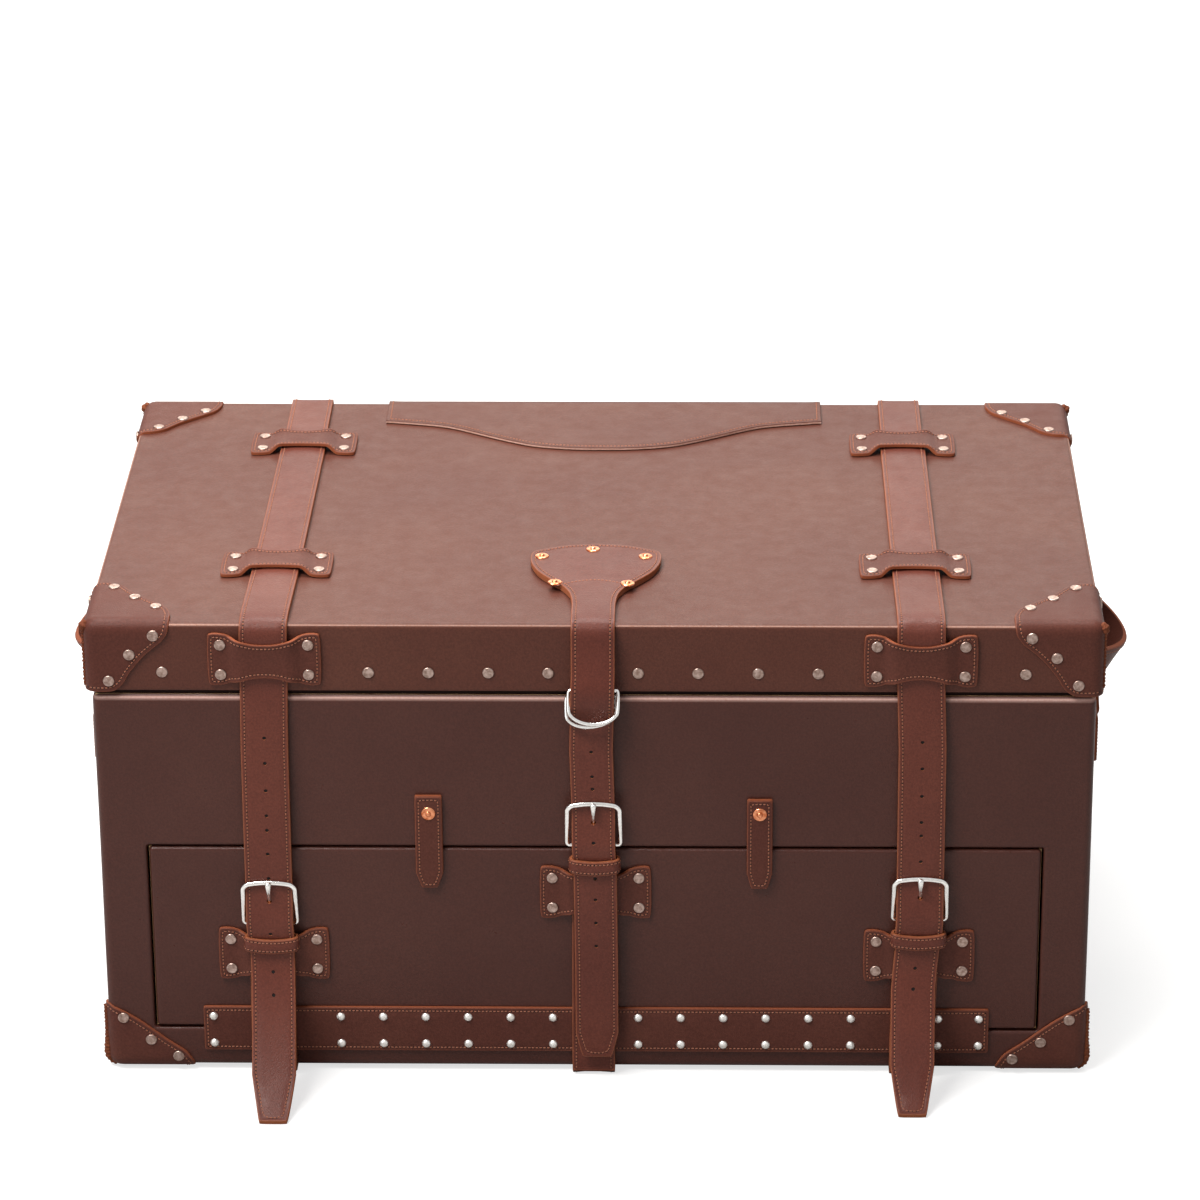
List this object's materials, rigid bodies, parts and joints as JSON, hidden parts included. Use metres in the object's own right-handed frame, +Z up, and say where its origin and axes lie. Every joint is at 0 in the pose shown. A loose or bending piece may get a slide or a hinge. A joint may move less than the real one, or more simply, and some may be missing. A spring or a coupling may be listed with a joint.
{
  "type": "leather trunk",
  "caption": "Leather-covered trunk with a hinged lid, a drop-down front panel, girth straps with buckles, riveted corner patches and end handles.",
  "frame": {"origin": "centre of the trunk's underside, on the floor plane that the under-straps rest on", "axes": "+Z up, +X along the length to the right-hand end seen from the front, and the front with the drop panel faces -Y"},
  "size_m": [0.9772, 0.6299, 0.4469],
  "materials": {
    "leather_dark": "oiled, semi-gloss",
    "leather_lid": "oiled, satin",
    "leather_strap": "oiled, semi-gloss",
    "board": "sanded",
    "lining": "woven",
    "nickel": "nickel, polished",
    "nail_brass": "antique",
    "rivet_steel": "antique"
  },
  "bodies": {
    "case": {"case_floor": "board", "case_back": "board", "case_end_left": "board", "case_end_right": "board", "case_front": "board", "shelf": "board", "case_leather": "leather_dark", "rim_welt": "leather_dark", "case_lining": "lining", "hinge_flap_case": "leather_dark", "hinge_strip_case": "leather_dark", "strap_left_girth": "leather_strap", "strap_right_girth": "leather_strap", "strap_centre_girth": "leather_strap", "ring_chape": "leather_strap", "case_corners": "leather_dark", "case_fixings": "rivet_steel", "handle_left_base": "leather_dark", "handle_right_base": "leather_dark"},
    "lid": {"lid_leather": "leather_lid", "lid_board": "board", "lid_frame": "board", "lid_lining": "lining", "hinge_flap_lid": "leather_dark", "strap_left_top": "leather_strap", "strap_right_top": "leather_strap", "strap_centre_top": "leather_strap", "lid_keepers": "leather_dark", "lid_corners": "leather_dark", "lid_rivets": "rivet_steel"},
    "panel": {"panel_board": "board", "panel_leather": "leather_dark", "hinge_strip_panel": "leather_dark", "nails_panel": "nail_brass", "panel_keepers": "leather_dark", "panel_rivets": "rivet_steel", "chape_left": "leather_strap", "loop_left": "leather_dark", "buckle_left": "nickel", "chape_right": "leather_strap", "loop_right": "leather_dark", "buckle_right": "nickel", "chape_centre": "leather_strap", "loop_centre": "leather_dark", "buckle_centre": "nickel"},
    "billet_left_body": {"billet_left": "leather_strap"},
    "tail_left_body": {"tail_left": "leather_strap"},
    "prong_left_body": {"prong_left": "nickel"},
    "billet_right_body": {"billet_right": "leather_strap"},
    "tail_right_body": {"tail_right": "leather_strap"},
    "prong_right_body": {"prong_right": "nickel"},
    "billet_centre_body": {"billet_centre": "leather_strap"},
    "tail_centre_body": {"tail_centre": "leather_strap"},
    "prong_centre_body": {"prong_centre": "nickel"},
    "tab_left_body": {"tab_left": "leather_strap"},
    "grip_left_body": {"handle_left_grip": "leather_strap"},
    "tab_right_body": {"tab_right": "leather_strap"},
    "grip_right_body": {"handle_right_grip": "leather_strap"},
    "ring_outer_body": {"ring_outer": "nickel"},
    "ring_inner_body": {"ring_inner": "nickel"}
  },
  "joints": [
    {"name": "lid_hinge", "type": "hinge", "parent": "case", "child": "lid", "pos_m": [0, 0.2673, 0.3738], "axis": [-1, 0, 0], "range_deg": [0, 95], "deforming": ["billet_left", "billet_right", "billet_centre"]},
    {"name": "panel_hinge", "type": "hinge", "parent": "case", "child": "panel", "pos_m": [0, -0.266, 0.0449], "axis": [1, 0, 0], "range_deg": [0, 90], "deforming": ["chape_left", "chape_right", "chape_centre", "tab_left", "tab_right", "tail_left", "tail_right", "tail_centre"]},
    {"name": "billet_left_hang", "type": "hinge", "parent": "lid", "child": "billet_left_body", "pos_m": [-0.2845, -0.2653, 0.3778], "axis": [-1, 0, 0], "range_deg": [-95, 0]},
    {"name": "billet_right_hang", "type": "hinge", "parent": "lid", "child": "billet_right_body", "pos_m": [0.2845, -0.2653, 0.3778], "axis": [-1, 0, 0], "range_deg": [-95, 0]},
    {"name": "billet_centre_hang", "type": "hinge", "parent": "lid", "child": "billet_centre_body", "pos_m": [0, -0.2782, 0.3778], "axis": [-1, 0, 0], "range_deg": [-95, 0]},
    {"name": "tail_left_lift", "type": "hinge", "parent": "billet_left_body", "child": "tail_left_body", "pos_m": [-0.2845, -0.2756, 0.1203], "axis": [-1, 0, 0], "range_deg": [0, 38]},
    {"name": "tail_right_lift", "type": "hinge", "parent": "billet_right_body", "child": "tail_right_body", "pos_m": [0.2845, -0.2756, 0.1203], "axis": [-1, 0, 0], "range_deg": [0, 38]},
    {"name": "tail_centre_lift", "type": "hinge", "parent": "billet_centre_body", "child": "tail_centre_body", "pos_m": [0, -0.2756, 0.0703], "axis": [-1, 0, 0], "range_deg": [0, 90]},
    {"name": "prong_left_turn", "type": "hinge", "parent": "panel", "child": "prong_left_body", "pos_m": [-0.2845, -0.2693, 0.1523], "axis": [1, 0, 0], "range_deg": [0, 90]},
    {"name": "prong_right_turn", "type": "hinge", "parent": "panel", "child": "prong_right_body", "pos_m": [0.2845, -0.2693, 0.1583], "axis": [1, 0, 0], "range_deg": [0, 90]},
    {"name": "prong_centre_turn", "type": "hinge", "parent": "panel", "child": "prong_centre_body", "pos_m": [0, -0.2693, 0.2308], "axis": [1, 0, 0], "range_deg": [0, 90]},
    {"name": "tab_left_turn", "type": "hinge", "parent": "case", "child": "tab_left_body", "pos_m": [-0.1455, -0.2656, 0.2598], "axis": [0, -1, 0], "range_deg": [-90, 90]},
    {"name": "tab_right_turn", "type": "hinge", "parent": "case", "child": "tab_right_body", "pos_m": [0.1455, -0.2656, 0.2598], "axis": [0, -1, 0], "range_deg": [-90, 90]},
    {"name": "ring_outer_lift", "type": "hinge", "parent": "case", "child": "ring_outer_body", "pos_m": [0, -0.272, 0.3763], "axis": [-1, 0, 0], "range_deg": [0, 45]},
    {"name": "ring_inner_lift", "type": "hinge", "parent": "case", "child": "ring_inner_body", "pos_m": [0, -0.268, 0.3733], "axis": [-1, 0, 0], "range_deg": [0, 45]},
    {"name": "grip_left_flex", "type": "hinge", "parent": "case", "child": "grip_left_body", "pos_m": [-0.4448, 0, 0.3138], "axis": [0, 1, 0], "range_deg": [-40, 30], "stiffness_Nm_per_rad": 0.2, "deforming": ["handle_left_grip"]},
    {"name": "grip_right_flex", "type": "hinge", "parent": "case", "child": "grip_right_body", "pos_m": [0.4448, 0, 0.3138], "axis": [0, -1, 0], "range_deg": [-40, 30], "stiffness_Nm_per_rad": 0.2, "deforming": ["handle_right_grip"]}
  ],
  "couplings": [
    {"joint": "billet_left_hang", "follows": "lid_hinge", "ratio": -1},
    {"joint": "billet_right_hang", "follows": "lid_hinge", "ratio": -1},
    {"joint": "billet_centre_hang", "follows": "lid_hinge", "ratio": -1},
    {"joint": "tail_left_lift", "follows": "panel_hinge", "ratio": 0.4222},
    {"joint": "tail_right_lift", "follows": "panel_hinge", "ratio": 0.4222},
    {"joint": "tail_centre_lift", "follows": "panel_hinge", "ratio": 1},
    {"joint": "ring_inner_lift", "follows": "ring_outer_lift", "ratio": 1}
  ]
}
